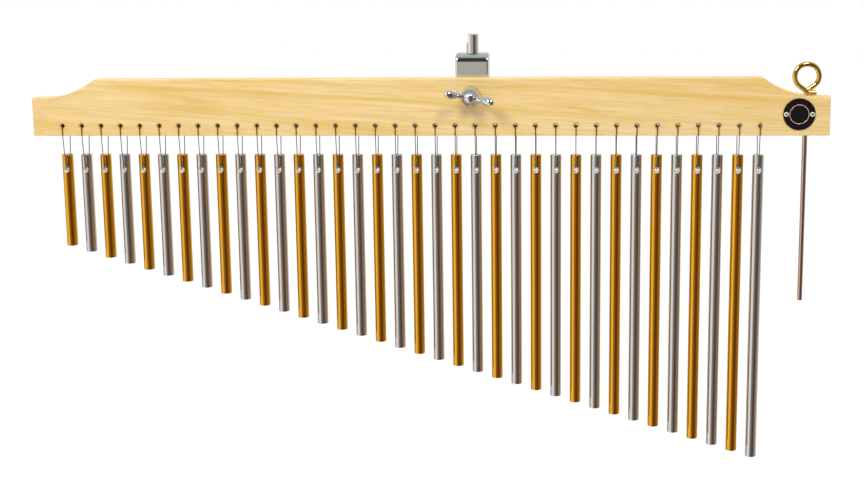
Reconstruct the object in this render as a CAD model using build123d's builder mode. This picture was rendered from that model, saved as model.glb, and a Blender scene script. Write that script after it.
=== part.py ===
from build123d import *
import os
from math import asin, cos, degrees, radians, sin, sqrt, tan

# Bar chimes: a wooden bar that carries a row of metal chimes on cord loops, with a clamp that holds
# the bar on a stand post, a badge and a wire beater kept in a hole through the bar's end.
# Sizes are in millimetres. The origin is on the stand post's axis, where the post leaves the clamp
# block. +X runs along the bar towards the long chimes, +Y points to the back and +Z points up.

os.makedirs("parts", exist_ok=True)

# Wooden bar
bar_thickness = 18.0
bar_height = 51.2
bar_end_height = 34.4
bar_end_land = 9.5
bar_end_curve_run = 49.0
bar_edge_round = 0.8
left_margin = 27.2
right_margin = 60.4

# Chimes
chime_count = 36
chime_pitch = 18.0
chime_diameter = 10.0
shortest_chime = 85.5
longest_chime = 281.0
chime_edge = 0.4
chime_drop = 18.0
chime_hole_depth = 13.5
chime_hole_diameter = 3.0
chime_sink_diameter = 6.2

# Cord loops
cord_diameter = 0.8
cord_hole_diameter = 3.0
cord_sink_diameter = 5.4
cord_hole_height = 9.0
cord_face_gap = 0.3
cord_seat_gap = 0.1
cord_corner_bend = 1.4
cord_edge_bend = 6.0
sink_angle = 90.0

# Clamp block, with its tongue behind the bar
block_width = 30.0
block_depth = 20.0
block_rise = 20.9
block_overlap = 4.0
block_front_round = 8.0
block_back_round = 3.0
block_side_round = 2.0
tongue_thickness = 8.0

# Stand post
post_diameter = 10.7
post_length = 17.0
post_insert = 14.0
post_spigot_diameter = 9.0
post_flat_depth = 1.5
post_flat_start = 8.2
post_chamfer = 0.6

# Clamp bolt and washer
bolt_diameter = 10.0
bolt_below_top = 15.7
bolt_head_diameter = 20.0
bolt_head_height = 4.4
bolt_neck_length = 4.0
bolt_tip_reach = 4.0
bolt_tip_dome = 3.0
washer_diameter = 18.0
washer_thickness = 1.6

# Wing nut
hub_diameter = 17.6
hub_front_diameter = 15.4
hub_flange = 3.0
hub_length = 11.4
hub_front_chamfer = 1.2
wing_ball_diameter = 8.2
wing_ball_length = 14.0
wing_reach = 16.2
wing_forward = 16.0
wing_root_height = 5.0
wing_root_radius = 3.6
wing_neck_radius = 2.6
wing_angle = 10.5

# Badge and its rivets
rivet_spacing = 22.6
rivet_to_rim = 2.7
badge_diameter = rivet_spacing + 2 * rivet_to_rim
badge_thickness = 1.2
badge_chamfer = 0.4
badge_from_end = 27.0
badge_height = 19.0
rivet_head_diameter = 4.2
rivet_head_height = 0.8
rivet_head_round = 0.4
rivet_shank_diameter = 2.2
rivet_grip = 5.0
rivet_dimple_diameter = 1.7
rivet_dimple_depth = 1.5

# Beater
beater_diameter = 4.4
beater_from_end = 20.2
beater_below_bar = 151.0
beater_tip_round = 1.2
ring_radius = 10.7
ring_top_height = 29.2
ring_cross_height = 2.7
ring_cross_gap = 0.4
beater_bend = 4.5
tail_length = 8.0
tail_bend = 5.0
ring_corners = 4
ring_corner_share = 0.97

# Clearances
fixed_gap = 0.02
thread_gap = 0.05
turning_gap = 0.1
washer_gap = 0.2
neck_gap = 0.05
beater_gap = 0.3
beater_seat_gap = 0.05

# Places that follow from the sizes
bar_back = -block_depth / 2
bar_front = bar_back - bar_thickness
bar_middle = (bar_back + bar_front) / 2
bar_top = -block_rise
bar_bottom = bar_top - bar_height
end_top = bar_bottom + bar_end_height
bolt_height = bar_top - bolt_below_top
cord_hole_z = bar_bottom + cord_hole_height
chime_top = bar_bottom - chime_drop
chime_hole_z = chime_top - chime_hole_depth
chime_radius = chime_diameter / 2
cord_radius = cord_diameter / 2
chime_numbers = range(1, chime_count + 1)
row_length = (chime_count - 1) * chime_pitch


def chime_length(number):
    """The length of a chime: the row grows by the same step from left to right."""
    return shortest_chime + (longest_chime - shortest_chime) * (number - 1) / (chime_count - 1)


def along_row(number):
    """The distance of a chime from the first one."""
    return (number - 1) * chime_pitch


# The clamp holds the bar where the row of chimes balances
total_length = sum(chime_length(n) for n in chime_numbers)
balance = sum(chime_length(n) * along_row(n) for n in chime_numbers) / total_length
bar_left = -balance - left_margin
bar_right = -balance + row_length + right_margin
badge_x = bar_right - badge_from_end
badge_z = bar_bottom + badge_height
beater_x = bar_right - beater_from_end


def chime_x(number):
    """The place of a chime along the bar."""
    return along_row(number) - balance


def bar_top_at(from_end):
    """The height of the bar's upper face at a distance from either end, up to the shoulder."""
    rise = bar_top - end_top
    curve_radius = (bar_end_curve_run**2 + rise**2) / (2 * rise)
    along_curve = max(0, from_end - bar_end_land)
    return end_top + curve_radius - sqrt(curve_radius**2 - along_curve**2)


def facing_front(x, y, z):
    """A plane that looks out of the front, with its own x along the bar."""
    return Plane(origin=(x, y, z), x_dir=(1, 0, 0), z_dir=(0, -1, 0))


def facing_back(x, y, z):
    """A plane that looks out of the back, with its own x along the bar."""
    return Plane(origin=(x, y, z), x_dir=(1, 0, 0), z_dir=(0, 1, 0))


def save(piece, name):
    """Label a finished piece and write it as a node."""
    piece.part.label = name
    export_step(piece.part, f"parts/{name}.step")


# Wooden bar: long board whose ends sweep down to a low land, drilled for cords, bolt, rivets and beater
row_places = [(chime_x(n), 0) for n in chime_numbers]
rivet_places = [(-rivet_spacing / 2, 0), (rivet_spacing / 2, 0)]
with BuildPart() as wood_bar:
    with BuildSketch(facing_front(0, bar_back, 0)):
        with BuildLine():
            left_land = bar_left + bar_end_land
            right_land = bar_right - bar_end_land
            left_shoulder = left_land + bar_end_curve_run
            right_shoulder = right_land - bar_end_curve_run
            Polyline(
                (left_land, end_top),
                (bar_left, end_top),
                (bar_left, bar_bottom),
                (bar_right, bar_bottom),
                (bar_right, end_top),
                (right_land, end_top),
            )
            TangentArc((right_land, end_top), (right_shoulder, bar_top), tangent=(-1, 0))
            Line((right_shoulder, bar_top), (left_shoulder, bar_top))
            TangentArc((left_land, end_top), (left_shoulder, bar_top), tangent=(1, 0))
        make_face()
    extrude(amount=bar_thickness)
    faces_by_depth = wood_bar.faces().sort_by(Axis.Y)
    fillet(faces_by_depth[0].edges() + faces_by_depth[-1].edges(), radius=bar_edge_round)
    with Locations(facing_front(0, bar_front, cord_hole_z)):
        with Locations(*row_places):
            CounterSinkHole(
                radius=cord_hole_diameter / 2,
                counter_sink_radius=cord_sink_diameter / 2,
                depth=bar_thickness,
                counter_sink_angle=sink_angle,
            )
    with Locations(facing_back(0, bar_back, cord_hole_z)):
        with Locations(*row_places):
            CounterSinkHole(
                radius=cord_hole_diameter / 2,
                counter_sink_radius=cord_sink_diameter / 2,
                depth=bar_thickness,
                counter_sink_angle=sink_angle,
            )
    with Locations(facing_front(0, bar_front, bolt_height)):
        Hole(radius=bolt_diameter / 2 + turning_gap, depth=bar_thickness)
    with Locations(facing_front(badge_x, bar_front, badge_z)):
        with Locations(*rivet_places):
            Hole(radius=rivet_shank_diameter / 2 + fixed_gap, depth=rivet_grip + fixed_gap)
    with Locations((beater_x, bar_middle, bar_top)):
        Hole(radius=beater_diameter / 2 + beater_gap, depth=bar_height)
save(wood_bar, "wood_bar")

# Clamp block: a cast head above and behind the bar, with a tongue that lies on the bar's back
with BuildPart() as clamp_block:
    head_bottom = bar_top - block_overlap
    tongue_bottom = bolt_height - block_width / 2
    with BuildSketch(Plane.YZ):
        with BuildLine():
            Polyline(
                (bar_back, 0),
                (bar_back, tongue_bottom),
                (bar_back + tongue_thickness, tongue_bottom),
                (bar_back + tongue_thickness, head_bottom),
                (bar_back + block_depth, head_bottom),
                (bar_back + block_depth, 0),
                close=True,
            )
        make_face()
    extrude(amount=block_width / 2, both=True)
    with BuildSketch(facing_back(0, bar_back, 0)):
        with Locations((0, -bolt_height / 2)):
            Rectangle(block_width, -bolt_height)
        with Locations((0, -bolt_height)):
            Circle(block_width / 2)
    extrude(amount=block_depth, mode=Mode.INTERSECT)
    top_edges = clamp_block.edges().group_by(Axis.Z)[-1].filter_by(Axis.X).sort_by(Axis.Y)
    fillet(top_edges[0], radius=block_front_round)
    back_edges = clamp_block.edges().group_by(Axis.Y)[-1].filter_by(Axis.X)
    fillet(back_edges, radius=block_back_round)
    side_faces = clamp_block.faces().filter_by(Axis.X).sort_by(Axis.X)
    fillet(side_faces[0].edges() + side_faces[-1].edges(), radius=block_side_round)
    Hole(radius=post_spigot_diameter / 2 + fixed_gap, depth=post_insert)
    with BuildSketch(facing_back(0, bar_back, bolt_height)):
        neck_hole = bolt_diameter + 2 * neck_gap
        Rectangle(neck_hole, neck_hole)
    extrude(amount=tongue_thickness, mode=Mode.SUBTRACT)
save(clamp_block, "clamp_block")

# Stand post: a round bar set in the block by a spigot, with a flat milled on the left of its upper end
with BuildPart() as stand_post:
    post_radius = post_diameter / 2
    flat_x = -post_radius + post_flat_depth
    with BuildSketch(Plane.XY.offset(-post_insert)):
        Circle(post_spigot_diameter / 2)
    extrude(amount=post_insert)
    with BuildSketch(Plane.XY):
        Circle(post_radius)
    extrude(amount=post_length)
    chamfer(stand_post.edges().group_by(Axis.Z)[-1], length=post_chamfer)
    with BuildSketch(Plane.XZ):
        with BuildLine():
            Polyline(
                (-post_radius, post_flat_start),
                (flat_x, post_flat_start + post_flat_depth),
                (flat_x, post_length),
                (-post_radius, post_length),
                close=True,
            )
        make_face()
    extrude(amount=post_radius, both=True, mode=Mode.SUBTRACT)
save(stand_post, "stand_post")

# Clamp bolt: a round-headed bolt from behind, held from turning by its square neck
bolt_seat = bar_back + tongue_thickness
hub_back = bar_front - washer_thickness
hub_front = hub_back - hub_length
bolt_tip = hub_front - bolt_tip_reach
bolt_axis = Axis((0, 0, bolt_height), (0, 1, 0))
with BuildPart() as clamp_bolt:
    with BuildSketch(Plane.YZ):
        with BuildLine():
            axis_z = bolt_height
            shank_z = bolt_height + bolt_diameter / 2
            head_z = bolt_height + bolt_head_diameter / 2
            TangentArc((bolt_tip, axis_z), (bolt_tip + bolt_tip_dome, shank_z), tangent=(0, 1))
            Polyline(
                (bolt_tip + bolt_tip_dome, shank_z),
                (bolt_seat, shank_z),
                (bolt_seat, head_z),
            )
            TangentArc((bolt_seat + bolt_head_height, axis_z), (bolt_seat, head_z), tangent=(0, 1))
            Line((bolt_seat + bolt_head_height, axis_z), (bolt_tip, axis_z))
        make_face()
    revolve(axis=bolt_axis)
    with BuildSketch(facing_front(0, bolt_seat, bolt_height)):
        Rectangle(bolt_diameter, bolt_diameter)
    extrude(amount=bolt_neck_length)
save(clamp_bolt, "clamp_bolt")

# Washer between the wing nut and the bar
with BuildPart() as bolt_washer:
    with BuildSketch(facing_front(0, bar_front, bolt_height)):
        Circle(washer_diameter / 2)
        Circle(bolt_diameter / 2 + washer_gap, mode=Mode.SUBTRACT)
    extrude(amount=washer_thickness)
save(bolt_washer, "bolt_washer")

# Wing nut: a tapered hub with two ball-ended wings that lean forward
with BuildPart() as wing_nut:
    with BuildSketch(Plane.YZ):
        with BuildLine():
            Polyline(
                (hub_back, bolt_height),
                (hub_back, bolt_height + hub_diameter / 2),
                (hub_back - hub_flange, bolt_height + hub_diameter / 2),
                (hub_front + hub_front_chamfer, bolt_height + hub_front_diameter / 2),
                (hub_front, bolt_height + hub_front_diameter / 2 - hub_front_chamfer),
                (hub_front, bolt_height),
                close=True,
            )
        make_face()
    revolve(axis=bolt_axis)
    for side in (-1, 1):
        across = Vector(cos(radians(wing_angle)), 0, -sin(radians(wing_angle))) * side
        root = Vector(0, hub_back - wing_root_height, bolt_height)
        ball = Vector(0, hub_back - wing_forward, bolt_height) + across * wing_reach
        wing = ball - root
        ball_radius = wing_ball_diameter / 2
        neck_turn = 180 - degrees(asin(wing_neck_radius / ball_radius))
        with BuildSketch(Plane(origin=root, x_dir=wing, z_dir=wing.cross(Vector(0, 1, 0)))):
            with BuildLine():
                lobe = EllipticalCenterArc(
                    (wing.length, 0),
                    x_radius=wing_ball_length / 2,
                    y_radius=ball_radius,
                    start_angle=0,
                    arc_size=neck_turn,
                )
                Polyline(lobe @ 1, (0, wing_root_radius), (0, 0), lobe @ 0)
            make_face()
        revolve(axis=Axis(root, wing))
    with Locations(facing_front(0, hub_front, bolt_height)):
        Hole(radius=bolt_diameter / 2 + thread_gap, depth=hub_length)
save(wing_nut, "wing_nut")

# Badge: a thin round plate, plain on its face
with BuildPart() as badge_disc:
    with BuildSketch(facing_front(badge_x, bar_front, badge_z)):
        Circle(badge_diameter / 2)
        with Locations(*rivet_places):
            Circle(rivet_shank_diameter / 2 + fixed_gap, mode=Mode.SUBTRACT)
    extrude(amount=badge_thickness)
    rim = badge_disc.faces().sort_by(Axis.Y)[0].outer_wire().edges()
    chamfer(rim, length=badge_chamfer)
save(badge_disc, "badge_disc")

# Badge rivets: two eyelet heads with shanks into the bar
badge_face = bar_front - badge_thickness
with BuildPart() as badge_rivets:
    with BuildSketch(facing_back(badge_x, badge_face, badge_z)):
        with Locations(*rivet_places):
            Circle(rivet_shank_diameter / 2)
    extrude(amount=badge_thickness + rivet_grip)
    with BuildSketch(facing_front(badge_x, badge_face, badge_z)):
        with Locations(*rivet_places):
            Circle(rivet_head_diameter / 2)
    extrude(amount=rivet_head_height)
    fillet(badge_rivets.edges().group_by(Axis.Y)[0], radius=rivet_head_round)
    with Locations(facing_front(badge_x, badge_face - rivet_head_height, badge_z)):
        with Locations(*rivet_places):
            Hole(radius=rivet_dimple_diameter / 2, depth=rivet_dimple_depth)
save(badge_rivets, "badge_rivets")


def ring_route():
    """The beater's wire: up the rod, round the finger ring, across the rod's front and along the land.

    The ring's two sides leave the round part as tangents and cross at the rod, a cross height below the
    round part. The wire steps forward evenly round the ring, so that it passes in front of the rod there.
    """
    seat_z = bar_top_at(beater_from_end + beater_diameter / 2)
    centre_z = seat_z + ring_top_height - beater_diameter / 2 - ring_radius
    cross_z = centre_z - ring_radius - ring_cross_height
    side_angle = asin(ring_radius / (centre_z - cross_z))
    turn = (radians(180) + 2 * side_angle) / ring_corners
    reach = ring_radius / cos(turn / 2)
    step = (beater_diameter + ring_cross_gap) / (ring_corners + 1)
    corners = []
    for n in range(ring_corners):
        angle = -side_angle + turn * (n + 0.5)
        y = bar_middle - step * (n + 1)
        corners.append((beater_x + reach * cos(angle), y, centre_z + reach * sin(angle)))
    tail_y = bar_middle - step * (ring_corners + 1)
    tail_z = seat_z + beater_diameter / 2 + beater_seat_gap
    tail_x = beater_x + (cross_z - tail_z) * tan(side_angle)
    points = [
        (beater_x, bar_middle, bar_bottom - beater_below_bar),
        (beater_x, bar_middle, cross_z),
        *corners,
        (tail_x, tail_y, tail_z),
        (beater_x + tail_length, tail_y, tail_z),
    ]
    ring_bends = [ring_radius * ring_corner_share] * ring_corners
    return points, [beater_bend, *ring_bends, tail_bend]


# Beater: a round wire, straight below and bent into a finger ring on top
with BuildPart() as beater:
    route_points, route_bends = ring_route()
    with BuildLine():
        FilletPolyline(*route_points, radius=route_bends)
    with BuildSketch(Plane.XY.offset(bar_bottom - beater_below_bar)):
        with Locations((beater_x, bar_middle)):
            Circle(beater_diameter / 2)
    sweep()
    fillet(beater.edges().group_by(Axis.Z)[0], radius=beater_tip_round)
save(beater, "beater")


def cord_route():
    """The corners of a cord loop, as depth and height, with the bend at each corner.

    The cord goes through the bar, down both faces, in to the chime's cross hole and through it.
    """
    strand = bar_thickness / 2 + cord_face_gap + cord_radius
    mouth = chime_radius + cord_face_gap + cord_radius
    upper = cord_hole_z - cord_hole_diameter / 2 + cord_radius + cord_seat_gap
    lower = chime_hole_z + chime_hole_diameter / 2 - cord_radius - cord_seat_gap
    corners = [
        (bar_middle - strand, upper),
        (bar_middle - strand, bar_bottom),
        (bar_middle - mouth, lower),
        (bar_middle + mouth, lower),
        (bar_middle + strand, bar_bottom),
        (bar_middle + strand, upper),
    ]
    half_bends = [cord_corner_bend, cord_edge_bend, cord_corner_bend]
    return corners, half_bends + half_bends[::-1]


def chime_hole_profile():
    """Half the section of a chime's cross hole, from its axis out, with a countersink at each mouth."""
    hole = chime_hole_diameter / 2
    sink = chime_sink_diameter / 2
    throat = chime_radius - (sink - hole) / tan(radians(sink_angle / 2))
    outside = chime_radius + chime_edge
    flare = sink + chime_edge * tan(radians(sink_angle / 2))
    front_half = [(-outside, 0), (-outside, flare), (-throat, hole)]
    back_half = [(throat, hole), (outside, flare), (outside, 0)]
    return front_half + back_half


# Chimes: solid round bars, each with a countersunk cross hole and the cord loop that it hangs by
cord_corners, cord_bends = cord_route()
hole_profile = chime_hole_profile()
for number in chime_numbers:
    x = chime_x(number)
    with BuildPart() as chime:
        with BuildSketch(Plane.XY.offset(chime_top)):
            with Locations((x, bar_middle)):
                Circle(chime_radius)
        extrude(amount=-chime_length(number))
        chamfer(chime.edges().filter_by(GeomType.CIRCLE), length=chime_edge)
        with BuildSketch(Plane.YZ.offset(x)):
            with BuildLine():
                Polyline(*[(bar_middle + y, chime_hole_z + z) for y, z in hole_profile], close=True)
            make_face()
        revolve(axis=Axis((x, bar_middle, chime_hole_z), (0, 1, 0)), mode=Mode.SUBTRACT)
        with BuildLine(Plane.YZ.offset(x)) as loop:
            FilletPolyline(*cord_corners, radius=cord_bends, close=True)
        with BuildSketch(Plane(origin=loop.line @ 0, z_dir=loop.line % 0)):
            Circle(cord_radius)
        sweep()
    save(chime, f"chime_{number:02d}")
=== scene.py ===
import math

import bmesh
import bpy
from mathutils import Matrix, Vector


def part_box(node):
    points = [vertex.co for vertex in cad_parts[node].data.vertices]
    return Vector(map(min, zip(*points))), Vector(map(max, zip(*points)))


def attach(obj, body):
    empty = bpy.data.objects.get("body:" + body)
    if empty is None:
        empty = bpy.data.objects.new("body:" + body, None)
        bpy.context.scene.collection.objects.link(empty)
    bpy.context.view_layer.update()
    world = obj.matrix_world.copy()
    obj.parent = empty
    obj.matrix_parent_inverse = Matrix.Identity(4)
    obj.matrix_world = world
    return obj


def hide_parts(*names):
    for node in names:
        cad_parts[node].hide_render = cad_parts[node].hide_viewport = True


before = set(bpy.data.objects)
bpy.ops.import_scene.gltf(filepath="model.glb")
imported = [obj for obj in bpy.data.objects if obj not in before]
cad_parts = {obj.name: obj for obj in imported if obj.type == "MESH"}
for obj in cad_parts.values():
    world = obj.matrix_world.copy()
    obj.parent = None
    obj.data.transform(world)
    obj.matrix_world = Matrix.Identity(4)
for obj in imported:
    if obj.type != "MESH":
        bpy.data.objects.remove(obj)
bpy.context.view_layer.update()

# Bar chimes: a wooden bar with a row of gold and silver chimes on cord loops, a chrome stand clamp with
# a wing nut, a round badge and a wire beater. Sizes are in metres, in the frame of the CAD model.

MM = 0.001

# Chimes and their cross holes
CHIME_COUNT = 36
CHIME_DROP = 18.0 * MM
CHIME_EDGE = 0.4 * MM
CHIME_HOLE_DEPTH = 13.5 * MM
CHIME_HOLE_RADIUS = 1.5 * MM
CHIME_SINK_RADIUS = 3.1 * MM
CHIME_SIDES = 64
EDGE_STEPS = 4
HOLE_SIDES = 40
SHARP_ANGLE = math.radians(32)
SKIN_GAP = 0.02 * MM

# Cord loops
CORD_RADIUS = 0.4 * MM
CORD_SEAT_GAP = 0.1 * MM
CORD_FACE_GAP = 0.3 * MM
CORD_HOLE_HEIGHT = 9.0 * MM
CORD_HOLE_RADIUS = 1.5 * MM
CORD_CORNER_REACH = 1.8 * MM
CORD_EDGE_REACH = 4.0 * MM
CORD_ROUND_STEPS = 3
CORD_LENGTH_STEPS = 6

# Wood figure; in hole radii, the darker golden-brown ring round a cord hole and the reach of the painted
# shade inside the hole
GRAIN_SLOPE = math.radians(4.0)
HOLE_RING_REACH = 2.2
HOLE_SHADE_REACH = 1.1

# Beater: the heights between which the rod's browner colour turns into the ring's yellower one
RING_TONE_FULL = -50.0 * MM
RING_TONE_NONE = -90.0 * MM

# Metal grain in cells per metre, along drawn bars and on spun or cast pieces
DRAWN = (900.0, 900.0, 25.0)
SPUN = (700.0, 700.0, 700.0)

# Shader helpers: mask colours, and the sockets of a colour mix
DARK = (0.0, 0.0, 0.0)
LIGHT = (1.0, 1.0, 1.0)
MIX_INPUTS = (0, 6, 7)
MIX_RESULT = 2

# Badge ring and rivets, with painted shade in each eyelet's hollow middle
RIVET_SPACING = 22.6 * MM
DIMPLE_RADIUS = 0.85 * MM
BADGE_LINE_SHARE = 0.6
BADGE_LINE_RADIUS = 0.34 * MM
BADGE_LINE_POINTS = 24
DIMPLE_SHADE_REACH = 1.15

# Camera, from the photograph
CAMERA_PLACE = (92.4 * MM, -1284.1 * MM, 87.0 * MM)
CAMERA_YAW = -0.0732
CAMERA_PITCH = 0.1768
CAMERA_ROLL = -0.0094
CAMERA_LENS = 59.0
CAMERA_SENSOR = 36.0
CAMERA_SHIFT = (-0.0464, -0.0483)
CAMERA_NEAR = 0.01

# Stage
FLOOR_HEIGHT = -0.45
FLOOR_SIZE = 8.0
FLOOR_GLOW = 1.08
FLOOR_GLOW_SHARE = 0.9

chime_names = [f"chime_{n:02d}" for n in range(1, CHIME_COUNT + 1)]


def middle_of(node_name):
    """The middle of a CAD node's box."""
    low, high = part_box(node_name)
    return (low + high) / 2


bar_low, bar_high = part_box("wood_bar")
bar_middle = (bar_low.y + bar_high.y) / 2
first_chime_x = middle_of(chime_names[0]).x
chime_pitch = middle_of(chime_names[1]).x - first_chime_x
cord_hole_z = bar_low.z + CORD_HOLE_HEIGHT
badge_centre = middle_of("badge_disc")


class Nodes:
    """A small helper that adds shader nodes to a tree and joins them."""

    def __init__(self, tree):
        self.tree = tree

    def add(self, kind, settings=None, **sockets):
        """Add a node. A socket given as an output of another node is linked, any other is set."""
        node = self.tree.nodes.new(kind)
        for name, value in (settings or {}).items():
            setattr(node, name, value)
        for name, value in sockets.items():
            self.put(node, name.replace("_", " "), value)
        return node

    def join(self, socket, value):
        """Link a socket to an output of another node, or set its value."""
        if isinstance(value, bpy.types.NodeSocket):
            self.tree.links.new(value, socket)
        else:
            socket.default_value = value

    def put(self, node, name, value):
        """Set or link one input of a node."""
        self.join(node.inputs[name], value)

    def math(self, operation, first, second=0.0):
        """One arithmetic step."""
        node = self.add("ShaderNodeMath", {"operation": operation})
        for socket, value in zip(node.inputs, (first, second)):
            self.join(socket, value)
        return node.outputs["Value"]

    def position(self):
        """The object's own coordinates, one output for each axis."""
        coordinates = self.add("ShaderNodeTexCoord").outputs["Object"]
        return self.add("ShaderNodeSeparateXYZ", Vector=coordinates).outputs

    def place(self, stretch, slope=0.0):
        """The object's own coordinates, turned about the depth axis and stretched."""
        coordinates = self.add("ShaderNodeTexCoord").outputs["Object"]
        turned = self.add("ShaderNodeMapping", Vector=coordinates, Rotation=(0.0, slope, 0.0))
        mapping = self.add("ShaderNodeMapping", Vector=turned.outputs["Vector"], Scale=stretch)
        return mapping.outputs["Vector"]

    def noise(self, stretch, detail=3.0, roughness=0.55, distortion=0.0, slope=0.0):
        """Noise whose grain size follows the stretch, in cells per metre."""
        node = self.add(
            "ShaderNodeTexNoise",
            Vector=self.place(stretch, slope),
            Scale=1.0,
            Detail=detail,
            Roughness=roughness,
            Distortion=distortion,
        )
        return node.outputs["Fac"]

    def ramp(self, factor, stops):
        """A colour ramp from (place, colour) pairs."""
        node = self.add("ShaderNodeValToRGB", Fac=factor)
        elements = node.color_ramp.elements
        while len(elements) < len(stops):
            elements.new(1.0)
        for element, (place, colour) in zip(elements, stops):
            element.position = place
            element.color = (*colour, 1.0)
        return node.outputs["Color"]

    def mix(self, factor, first, second):
        """A mix of two colours, each a plain colour or an output of another node."""
        node = self.add("ShaderNodeMix", {"data_type": "RGBA"})
        for index, value in zip(MIX_INPUTS, (factor, first, second)):
            self.join(node.inputs[index], (*value, 1.0) if isinstance(value, tuple) else value)
        return node.outputs[MIX_RESULT]

    def spread(self, factor, low, high):
        """A factor between 0 and 1 brought to another range."""
        node = self.add("ShaderNodeMapRange", Value=factor)
        node.inputs["To Min"].default_value = low
        node.inputs["To Max"].default_value = high
        return node.outputs["Result"]

    def fade(self, value, full, none):
        """1 where a value is at full, falling to 0 where it reaches none."""
        node = self.add("ShaderNodeMapRange", Value=value)
        node.inputs["From Min"].default_value = none
        node.inputs["From Max"].default_value = full
        return node.outputs["Result"]

    def spot_distance(self, across, height, centre_height):
        """The distance from a spot on the front, from how far across it is and its height."""
        rise = self.math("SUBTRACT", height, centre_height)
        squares = self.math("ADD", self.math("POWER", across, 2.0), self.math("POWER", rise, 2.0))
        return self.math("SQRT", squares)

    def bump(self, height, strength, distance):
        """Small relief on a surface."""
        node = self.add("ShaderNodeBump", Height=height, Strength=strength, Distance=distance)
        return node.outputs["Normal"]


def new_material(name):
    """A material with its node helper and its main shader."""
    material = bpy.data.materials.new(name)
    material.use_nodes = True
    return material, Nodes(material.node_tree), material.node_tree.nodes["Principled BSDF"]


def wood_material():
    """Pale lacquered wood with long golden streaks along the bar."""
    material, nodes, shader = new_material("lacquered maple")
    broad = nodes.noise((4.0, 40.0, 75.0), detail=3.0, distortion=1.0, slope=-GRAIN_SLOPE)
    streak = nodes.noise((12.0, 220.0, 300.0), detail=4.0, roughness=0.55, distortion=1.0, slope=-GRAIN_SLOPE)
    fleck = nodes.noise((60.0, 900.0, 1300.0), detail=2.0)
    ground = nodes.ramp(broad, [
        (0.32, (0.72, 0.46, 0.12)),
        (0.5, (0.79, 0.57, 0.25)),
        (0.7, (0.82, 0.62, 0.33)),
    ])
    streaked = nodes.ramp(streak, [(0.42, DARK), (0.62, LIGHT)])
    golden = nodes.mix(nodes.spread(streaked, 0.0, 0.5), ground, (0.7, 0.43, 0.1))
    flecked = nodes.ramp(fleck, [(0.55, DARK), (0.72, LIGHT)])
    colour = nodes.mix(nodes.spread(flecked, 0.0, 0.3), golden, (0.52, 0.29, 0.07))
    place = nodes.position()
    step = nodes.math("DIVIDE", nodes.math("SUBTRACT", place["X"], first_chime_x), chime_pitch)
    inside_row = nodes.math("MINIMUM", nodes.math("MAXIMUM", step, 0.0), CHIME_COUNT - 1.0)
    nearest = nodes.math("ROUND", inside_row)
    across = nodes.math("MULTIPLY", nodes.math("SUBTRACT", step, nearest), chime_pitch)
    from_hole = nodes.spot_distance(across, place["Z"], cord_hole_z)
    # A darker golden-brown ring round each cord hole.
    hole_ring = nodes.fade(from_hole, CORD_HOLE_RADIUS, HOLE_RING_REACH * CORD_HOLE_RADIUS)
    hole_ringed = nodes.mix(nodes.spread(hole_ring, 0.0, 0.8), colour, (0.5, 0.27, 0.03))
    # Painted shade: the inside of each cord hole is painted near-black brown, standing in for the shade in
    # the hole.
    painted_hole_shade = nodes.fade(from_hole, CORD_HOLE_RADIUS, HOLE_SHADE_REACH * CORD_HOLE_RADIUS)
    nodes.put(shader, "Base Color", nodes.mix(painted_hole_shade, hole_ringed, (0.04, 0.012, 0.006)))
    nodes.put(shader, "Roughness", nodes.spread(streak, 0.34, 0.5))
    nodes.put(shader, "Coat Weight", 0.25)
    nodes.put(shader, "Coat Roughness", 0.2)
    nodes.put(shader, "Normal", nodes.bump(fleck, 0.12, 0.0002))
    return material


def metal_material(name, colour, tint, roughness, grain, metallic=1.0):
    """Polished metal with a faint grain, uneven polish and a slight change of tint."""
    material, nodes, shader = new_material(name)
    lines = nodes.noise(grain, detail=4.0, roughness=0.6)
    clouds = nodes.noise((90.0, 90.0, 45.0), detail=2.0)
    nodes.put(shader, "Metallic", metallic)
    nodes.put(shader, "Base Color", nodes.mix(nodes.spread(clouds, 0.0, 0.5), colour, tint))
    nodes.put(shader, "Roughness", nodes.spread(lines, roughness * 0.7, roughness * 1.3))
    nodes.put(shader, "Normal", nodes.bump(lines, 0.02, 0.0001))
    return material


def brass_wire_material():
    """Polished brass that is browner along the rod than on the finger ring."""
    material, nodes, shader = new_material("polished brass wire")
    upper = nodes.fade(nodes.position()["Z"], RING_TONE_FULL, RING_TONE_NONE)
    lines = nodes.noise((400.0, 400.0, 60.0), detail=4.0)
    clouds = nodes.noise((120.0, 120.0, 40.0), detail=3.0)
    rod = nodes.mix(clouds, (0.64, 0.48, 0.4), (0.56, 0.4, 0.31))
    ring = nodes.mix(clouds, (0.86, 0.6, 0.16), (0.78, 0.5, 0.1))
    nodes.put(shader, "Metallic", 1.0)
    nodes.put(shader, "Base Color", nodes.mix(upper, rod, ring))
    nodes.put(shader, "Roughness", nodes.spread(lines, 0.06, 0.13))
    nodes.put(shader, "Normal", nodes.bump(lines, 0.03, 0.0001))
    return material


def badge_material():
    """Satin black paint with a fine orange-peel relief."""
    material, nodes, shader = new_material("satin black paint")
    peel = nodes.noise((1400.0, 1400.0, 1400.0), detail=3.0)
    clouds = nodes.noise((160.0, 160.0, 160.0), detail=3.0)
    nodes.put(shader, "Base Color", nodes.mix(clouds, (0.003, 0.003, 0.005), (0.008, 0.007, 0.008)))
    nodes.put(shader, "Roughness", nodes.spread(peel, 0.26, 0.42))
    nodes.put(shader, "Specular IOR Level", 0.22)
    nodes.put(shader, "Normal", nodes.bump(peel, 0.06, 0.0001))
    return material


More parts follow.
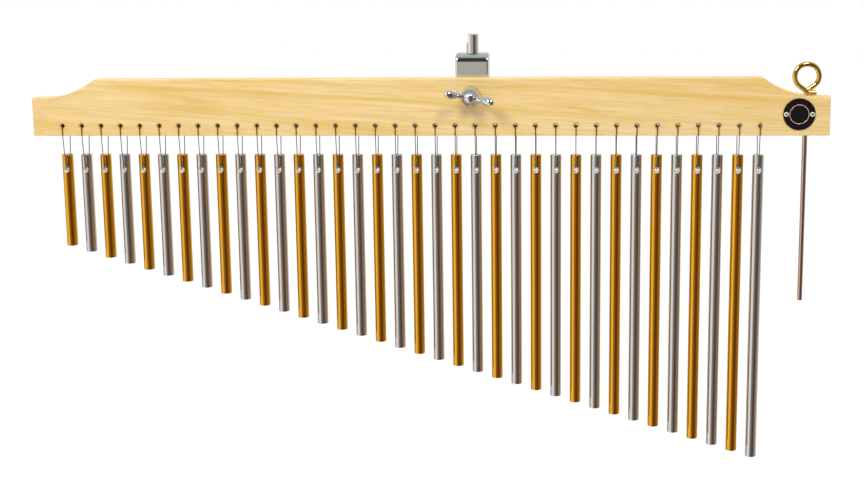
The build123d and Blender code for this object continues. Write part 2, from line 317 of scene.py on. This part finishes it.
def cord_material():
    """Smoky clear nylon with a twisted lay, with painted shade: brown where it runs over the wood and dark
    red-brown in the cord hole.
    """
    material, nodes, shader = new_material("nylon cord")
    lay = nodes.noise((500.0, 900.0, 1600.0), detail=2.0, distortion=1.2)
    height = nodes.position()["Z"]
    smoky = nodes.mix(lay, (0.05, 0.04, 0.035), (0.17, 0.15, 0.13))
    # Painted shade: the strand is painted brown over the wood, standing in for shade and for the wood seen
    # through the clear cord.
    brown = nodes.mix(lay, (0.08, 0.03, 0.004), (0.16, 0.07, 0.012))
    on_wood = nodes.fade(height, bar_low.z, bar_low.z - CORD_EDGE_REACH)
    # Painted shade: the cord is painted dark red-brown inside the cord hole.
    painted_cord_hole_shade = nodes.fade(height, cord_hole_z - CORD_HOLE_RADIUS, cord_hole_z - 2 * CORD_HOLE_RADIUS)
    strand = nodes.mix(on_wood, smoky, brown)
    nodes.put(shader, "Base Color", nodes.mix(painted_cord_hole_shade, strand, (0.05, 0.009, 0.003)))
    nodes.put(shader, "Specular IOR Level", nodes.spread(on_wood, 0.4, 0.0))
    nodes.put(shader, "Roughness", nodes.spread(lay, 0.4, 0.6))
    nodes.put(shader, "Normal", nodes.bump(lay, 0.15, 0.0002))
    return material


def eyelet_material():
    """Pale rolled metal with painted shade in the hollow middle of each of the two eyelets."""
    material, nodes, shader = new_material("rolled eyelet")
    clouds = nodes.noise((900.0, 900.0, 900.0), detail=3.0)
    place = nodes.position()
    sideways = nodes.math("ABSOLUTE", nodes.math("SUBTRACT", place["X"], badge_centre.x))
    across = nodes.math("SUBTRACT", sideways, RIVET_SPACING / 2)
    from_spot = nodes.spot_distance(across, place["Z"], badge_centre.z)
    # Painted shade: a near-black spot in each eyelet's hollow middle.
    painted_dimple_shade = nodes.fade(from_spot, DIMPLE_RADIUS, DIMPLE_SHADE_REACH * DIMPLE_RADIUS)
    pale = nodes.mix(clouds, (0.9, 0.88, 0.76), (0.8, 0.77, 0.64))
    nodes.put(shader, "Base Color", nodes.mix(painted_dimple_shade, pale, (0.03, 0.03, 0.02)))
    nodes.put(shader, "Metallic", 0.4)
    nodes.put(shader, "Roughness", nodes.spread(clouds, 0.22, 0.36))
    return material


wood = wood_material()
chrome = metal_material("bright chrome", (0.76, 0.77, 0.76), (0.7, 0.7, 0.69), 0.07, SPUN)
gold = metal_material("gold anodised", (0.86, 0.43, 0.035), (0.8, 0.37, 0.025), 0.13, DRAWN)
silver = metal_material("clear anodised", (0.66, 0.67, 0.66), (0.6, 0.61, 0.6), 0.15, DRAWN)
bare = metal_material("freshly cut aluminium", (0.92, 0.92, 0.88), (0.85, 0.85, 0.8), 0.3, SPUN, metallic=0.7)
copper = metal_material("copper line", (0.86, 0.55, 0.36), (0.74, 0.42, 0.26), 0.25, SPUN, metallic=0.5)
eyelet = eyelet_material()
brass = brass_wire_material()
black = badge_material()
nylon = cord_material()


def paint(node_name, material):
    """Put a material on every slot of a CAD node's object."""
    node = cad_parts[node_name]
    if not node.material_slots:
        node.data.materials.append(material)
    for slot in node.material_slots:
        slot.link = "OBJECT"
        slot.material = material


paint("wood_bar", wood)
for chrome_node in ("clamp_block", "stand_post", "clamp_bolt", "bolt_washer", "wing_nut"):
    paint(chrome_node, chrome)
paint("badge_disc", black)
paint("badge_rivets", eyelet)
paint("beater", brass)


def link(obj):
    """Show an object in the scene."""
    bpy.context.scene.collection.objects.link(obj)
    return obj


def lathe(name, profile, sides, axis):
    """A closed turned solid from (along, radius) pairs, centred on the origin."""
    mesh = bpy.data.meshes.new(name)
    build = bmesh.new()
    across = Vector((1.0, 0.0, 0.0))
    up = axis.cross(across)
    rings = []
    for along, radius in profile:
        ring = []
        for side in range(sides):
            angle = 2 * math.pi * side / sides
            outward = across * math.cos(angle) + up * math.sin(angle)
            ring.append(build.verts.new(axis * along + outward * radius))
        rings.append(ring)
    for lower, upper in zip(rings, rings[1:]):
        for side in range(sides):
            after = (side + 1) % sides
            build.faces.new((lower[side], lower[after], upper[after], upper[side]))
    build.faces.new(rings[0][::-1])
    build.faces.new(rings[-1])
    bmesh.ops.recalc_face_normals(build, faces=build.faces)
    build.to_mesh(mesh)
    build.free()
    return mesh


def rounded_bar_profile(radius, length, edge, steps):
    """A bar's outline from its bottom up, with rounded end edges."""
    quarter = [math.pi / 2 * step / steps for step in range(steps + 1)]
    lower = [(edge - edge * math.cos(a), radius - edge + edge * math.sin(a)) for a in quarter]
    upper = [(length - along, ring) for along, ring in reversed(lower)]
    return lower + upper


def cross_hole_profile(radius):
    """A cross hole's outline through the bar, with a countersink at each mouth."""
    throat = radius - (CHIME_SINK_RADIUS - CHIME_HOLE_RADIUS)
    outside = radius + CHIME_EDGE
    flare = CHIME_SINK_RADIUS + CHIME_EDGE
    return [(-outside, flare), (-throat, CHIME_HOLE_RADIUS), (throat, CHIME_HOLE_RADIUS), (outside, flare)]


def master_chime(radius, length):
    """The shortest chime with its drilled cross hole, standing on the origin."""
    bar = link(bpy.data.objects.new("master", lathe(
        "master", rounded_bar_profile(radius, length, CHIME_EDGE, EDGE_STEPS), CHIME_SIDES, Vector((0, 0, 1))
    )))
    drill = link(bpy.data.objects.new("drill", lathe(
        "drill", cross_hole_profile(radius), HOLE_SIDES, Vector((0, 1, 0))
    )))
    hole_height = length - CHIME_HOLE_DEPTH
    drill.location.z = hole_height
    cut = bar.modifiers.new("cross hole", "BOOLEAN")
    cut.operation = "DIFFERENCE"
    cut.solver = "EXACT"
    cut.object = drill
    bpy.context.view_layer.update()
    mesh = bpy.data.meshes.new_from_object(bar.evaluated_get(bpy.context.evaluated_depsgraph_get()))
    bpy.data.objects.remove(bar)
    bpy.data.objects.remove(drill)
    mesh.materials.clear()
    mesh.materials.append(gold)
    mesh.materials.append(bare)
    near = radius * math.cos(math.pi / CHIME_SIDES) - SKIN_GAP
    for face in mesh.polygons:
        middle = face.center
        inside = math.hypot(middle.x, middle.y) < near
        face.material_index = int(inside and abs(middle.z - hole_height) < CHIME_SINK_RADIUS)
        face.use_smooth = True
    mesh.set_sharp_from_angle(angle=SHARP_ANGLE)
    return mesh


def chime_mesh(master, name, base_length, length, finish):
    """A copy of the master with its lower end drawn down to the chime's length."""
    mesh = master.copy()
    mesh.name = name
    mesh.materials[0] = finish
    for vertex in mesh.vertices:
        lower_end = vertex.co.z < base_length / 2
        vertex.co.z -= length if lower_end else base_length
    return mesh


def cord_points(middle, strand, mouth, upper, edge, lower):
    """Control points of a cord loop in depth and height, closer together at its bends."""
    corners = [
        (middle - strand, upper, CORD_CORNER_REACH),
        (middle - strand, edge, CORD_EDGE_REACH),
        (middle - mouth, lower, CORD_CORNER_REACH),
        (middle + mouth, lower, CORD_CORNER_REACH),
        (middle + strand, edge, CORD_EDGE_REACH),
        (middle + strand, upper, CORD_CORNER_REACH),
    ]
    points = []
    for n, (y, z, reach) in enumerate(corners):
        here = Vector((0.0, y, z))
        before = Vector((0.0, *corners[n - 1][:2]))
        after = Vector((0.0, *corners[(n + 1) % len(corners)][:2]))
        points.append(here + (before - here).normalized() * reach)
        points.append(here)
        points.append(here + (after - here).normalized() * reach)
    return points


def round_curve(name, points, radius, closed):
    """A round cord or wire along control points."""
    curve = bpy.data.curves.new(name, "CURVE")
    curve.dimensions = "3D"
    curve.bevel_depth = radius
    curve.bevel_resolution = CORD_ROUND_STEPS
    curve.resolution_u = CORD_LENGTH_STEPS
    spline = curve.splines.new("NURBS")
    spline.points.add(len(points) - 1)
    for target, point in zip(spline.points, points):
        target.co = (*point, 1.0)
    spline.order_u = 3
    spline.use_cyclic_u = closed
    return link(bpy.data.objects.new(name, curve))


# Chimes and cords
chime_top = bar_low.z - CHIME_DROP
first_low, first_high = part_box(chime_names[0])
chime_radius = (first_high.x - first_low.x) / 2
base_length = chime_top - first_low.z
master = master_chime(chime_radius, base_length)
strand_reach = (bar_high.y - bar_low.y) / 2 + CORD_FACE_GAP + CORD_RADIUS
mouth_reach = chime_radius + CORD_FACE_GAP + CORD_RADIUS
upper_run = cord_hole_z - CORD_HOLE_RADIUS + CORD_RADIUS + CORD_SEAT_GAP
lower_run = chime_top - CHIME_HOLE_DEPTH + CHIME_HOLE_RADIUS - CORD_RADIUS - CORD_SEAT_GAP
loop = cord_points(bar_middle, strand_reach, mouth_reach, upper_run, bar_low.z, lower_run)
for number, node_name in enumerate(chime_names):
    low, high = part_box(node_name)
    x = first_chime_x + number * chime_pitch
    finish, finish_slot = (gold, "gold_bar") if number % 2 == 0 else (silver, "silver_bar")
    mesh = chime_mesh(master, f"{node_name}_bar", base_length, chime_top - low.z, finish)
    bar = link(bpy.data.objects.new(f"{node_name}_bar", mesh))
    bar.location = (x, bar_middle, chime_top)
    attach(bar, node_name)
    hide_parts(node_name)
    cord = round_curve(f"{node_name}_cord", loop, CORD_RADIUS, True)
    cord.data.materials.append(nylon)
    cord.location.x = x
    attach(cord, node_name)
bpy.data.meshes.remove(master)

# Badge ring
badge_low, badge_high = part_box("badge_disc")
line_radius = (badge_high.x - badge_low.x) / 2 * BADGE_LINE_SHARE
ring_points = []
for step in range(BADGE_LINE_POINTS):
    angle = 2 * math.pi * step / BADGE_LINE_POINTS
    ring_points.append(Vector((math.cos(angle), 0.0, math.sin(angle))) * line_radius)
badge_line = round_curve("badge_line", ring_points, BADGE_LINE_RADIUS, True)
badge_line.data.materials.append(copper)
badge_line.location = (badge_centre.x, badge_low.y, badge_centre.z)
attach(badge_line, "bar")


def make_camera():
    """The camera at the photograph's place."""
    yaw, pitch, roll = CAMERA_YAW, CAMERA_PITCH, CAMERA_ROLL
    ahead = Vector((math.sin(yaw) * math.cos(pitch), math.cos(yaw) * math.cos(pitch), -math.sin(pitch)))
    level = Vector((math.cos(yaw), -math.sin(yaw), 0.0))
    above = level.cross(ahead)
    right = level * math.cos(roll) + above * math.sin(roll)
    up = above * math.cos(roll) - level * math.sin(roll)
    data = bpy.data.cameras.new("camera")
    data.lens = CAMERA_LENS
    data.sensor_width = CAMERA_SENSOR
    data.shift_x, data.shift_y = CAMERA_SHIFT
    data.clip_start = CAMERA_NEAR
    camera = link(bpy.data.objects.new("camera", data))
    turn = Matrix((right, up, -ahead)).transposed().to_4x4()
    camera.matrix_world = Matrix.Translation(CAMERA_PLACE) @ turn
    bpy.context.scene.camera = camera


def area_light(name, place, target, size, power):
    """A soft box that looks at a point."""
    data = bpy.data.lights.new(name, "AREA")
    data.shape = "RECTANGLE"
    data.size, data.size_y = size
    data.energy = power
    light = link(bpy.data.objects.new(name, data))
    light.location = place
    light.rotation_euler = (Vector(target) - Vector(place)).to_track_quat("-Z", "Y").to_euler()
    return light


def make_world():
    """A studio: white to the camera, bright on the left and dark on the right for the metal to reflect."""
    world = bpy.data.worlds.new("studio")
    bpy.context.scene.world = world
    world.use_nodes = True
    nodes = Nodes(world.node_tree)
    background = world.node_tree.nodes["Background"]
    direction = nodes.add("ShaderNodeTexCoord").outputs["Generated"]
    parts = nodes.add("ShaderNodeSeparateXYZ", Vector=direction)
    toward = nodes.math("MULTIPLY", parts.outputs["Y"], -1.0)
    bearing = nodes.math("ARCTAN2", parts.outputs["X"], toward)
    around = nodes.fade(bearing, math.pi, -math.pi)
    sides = nodes.ramp(around, [
        (0.0, (0.8, 0.8, 0.8)),
        (0.19, (0.42, 0.36, 0.32)),
        (0.25, (0.95, 0.95, 0.95)),
        (0.385, (1.0, 1.0, 1.0)),
        (0.425, (0.34, 0.29, 0.26)),
        (0.5, (0.24, 0.17, 0.15)),
        (0.54, (0.12, 0.075, 0.06)),
        (0.62, (0.12, 0.075, 0.06)),
        (0.7, (0.34, 0.25, 0.19)),
        (0.86, (0.7, 0.68, 0.65)),
        (1.0, (0.8, 0.8, 0.8)),
    ])
    height = nodes.fade(parts.outputs["Z"], 1.0, -1.0)
    level = nodes.ramp(height, [(0.445, DARK), (0.458, LIGHT), (0.51, LIGHT), (0.54, DARK)])
    ahead = nodes.ramp(around, [(0.4, DARK), (0.45, LIGHT), (0.52, LIGHT), (0.56, DARK)])
    horizon = nodes.mix(nodes.math("MULTIPLY", level, ahead), sides, (0.52, 0.52, 0.48))
    aloft = nodes.ramp(height, [(0.56, DARK), (0.64, LIGHT)])
    depth = nodes.fade(parts.outputs["Y"], 1.0, -1.0)
    ceiling = nodes.ramp(depth, [
        (0.16, (0.04, 0.04, 0.04)),
        (0.3, (0.45, 0.48, 0.5)),
        (0.8, (0.62, 0.64, 0.65)),
    ])
    studio = nodes.mix(aloft, horizon, ceiling)
    seen = nodes.add("ShaderNodeLightPath").outputs["Is Camera Ray"]
    nodes.put(background, "Color", nodes.mix(seen, studio, LIGHT))
    nodes.put(background, "Strength", 1.0)


def make_floor():
    """A plain white floor under the chimes."""
    mesh = bpy.data.meshes.new("floor")
    half = FLOOR_SIZE / 2
    corners = [(-half, -half, 0), (half, -half, 0), (half, half, 0), (-half, half, 0)]
    mesh.from_pydata(corners, [], [(0, 1, 2, 3)])
    floor = link(bpy.data.objects.new("floor", mesh))
    floor.location.z = FLOOR_HEIGHT
    floor.visible_glossy = False
    material, nodes, shader = new_material("white floor")
    nodes.put(shader, "Base Color", (0.9, 0.9, 0.9, 1.0))
    nodes.put(shader, "Roughness", 0.8)
    glow = nodes.add("ShaderNodeEmission", Color=(1.0, 1.0, 1.0, 1.0), Strength=FLOOR_GLOW)
    seen = nodes.add("ShaderNodeLightPath").outputs["Is Camera Ray"]
    blend = nodes.add("ShaderNodeMixShader", Fac=nodes.math("MULTIPLY", seen, FLOOR_GLOW_SHARE))
    material.node_tree.links.new(shader.outputs["BSDF"], blend.inputs[1])
    material.node_tree.links.new(glow.outputs["Emission"], blend.inputs[2])
    output = material.node_tree.nodes["Material Output"]
    material.node_tree.links.new(blend.outputs["Shader"], output.inputs["Surface"])
    mesh.materials.append(material)


make_camera()
make_world()
make_floor()
area_light("key", place=(-0.9, -1.4, 1.2), target=(0.0, 0.0, -0.15), size=(0.6, 0.6), power=22.0)
area_light("fill", place=(0.6, -1.3, 1.3), target=(0.0, 0.0, -0.15), size=(0.5, 0.5), power=14.0)
top_light = area_light("top", place=(0.0, 0.3, 1.4), target=(0.0, 0.0, -0.1), size=(1.6, 0.8), power=12.0)
top_light.visible_glossy = False
bpy.context.scene.view_settings.view_transform = "Standard"
